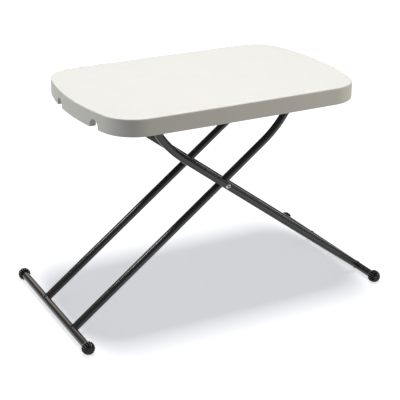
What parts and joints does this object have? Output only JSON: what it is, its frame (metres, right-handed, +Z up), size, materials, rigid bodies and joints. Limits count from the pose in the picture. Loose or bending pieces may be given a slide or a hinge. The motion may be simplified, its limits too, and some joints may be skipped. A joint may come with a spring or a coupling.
{
  "type": "folding side table",
  "caption": "Small folding table with a thick white plastic top on crossed steel tube legs, whose feet end in ribbed black caps.",
  "frame": {"origin": "on the floor, midway between the four feet", "axes": "+Z up, +X along the top towards the feet of the outer legs, +Y from the front long side to the rear one"},
  "size_m": [0.8176, 0.456, 0.539],
  "materials": {
    "white_plastic": "fine-grained, off-white",
    "charcoal_tube": "satin charcoal powder coat",
    "black_plastic": "black, slightly shiny",
    "grey_nylon": "matt grey",
    "rod_steel": "drawn and zinc plated",
    "zinc_steel": "zinc plated"
  },
  "bodies": {
    "top": {"top": "white_plastic", "outer_rail_front": "grey_nylon", "outer_rail_rear": "grey_nylon", "inner_rail_front": "grey_nylon", "inner_rail_rear": "grey_nylon", "rail_screws": "zinc_steel"},
    "outer_rod": {"outer_rod": "rod_steel", "outer_rod_caps": "black_plastic"},
    "outer_frame": {"outer_leg_front": "charcoal_tube", "outer_leg_rear": "charcoal_tube", "outer_leg_plugs": "black_plastic", "outer_foot_bar": "charcoal_tube", "outer_welds": "charcoal_tube", "outer_cap_front": "black_plastic", "outer_cap_rear": "black_plastic", "front_pivot_bolt": "zinc_steel", "rear_pivot_bolt": "zinc_steel", "pivot_washers": "zinc_steel", "pivot_nuts": "zinc_steel"},
    "inner_frame": {"inner_leg_front": "charcoal_tube", "inner_leg_rear": "charcoal_tube", "inner_leg_plugs": "black_plastic", "inner_foot_bar": "charcoal_tube", "inner_welds": "charcoal_tube", "inner_cap_front": "black_plastic", "inner_cap_rear": "black_plastic", "inner_rod": "rod_steel", "inner_rod_caps": "black_plastic"}
  },
  "joints": [
    {"name": "outer rod slide", "type": "slide", "parent": "top", "child": "outer_rod", "axis": [-1, 0, 0], "range_m": [0, 0.08392]},
    {"name": "fold", "type": "hinge", "parent": "outer_rod", "child": "outer_frame", "pos_m": [-0.20058, 0, 0.516], "axis": [0, -1, 0], "range_deg": [0, 39.6]},
    {"name": "scissor", "type": "hinge", "parent": "outer_frame", "child": "inner_frame", "pos_m": [0, 0, 0.31292], "axis": [0, 1, 0], "range_deg": [0, 79.39]}
  ],
  "couplings": [
    {"joint": "outer rod slide", "follows": "fold", "m_per_rad": 0.1207},
    {"joint": "scissor", "follows": "fold", "ratio": 2}
  ]
}
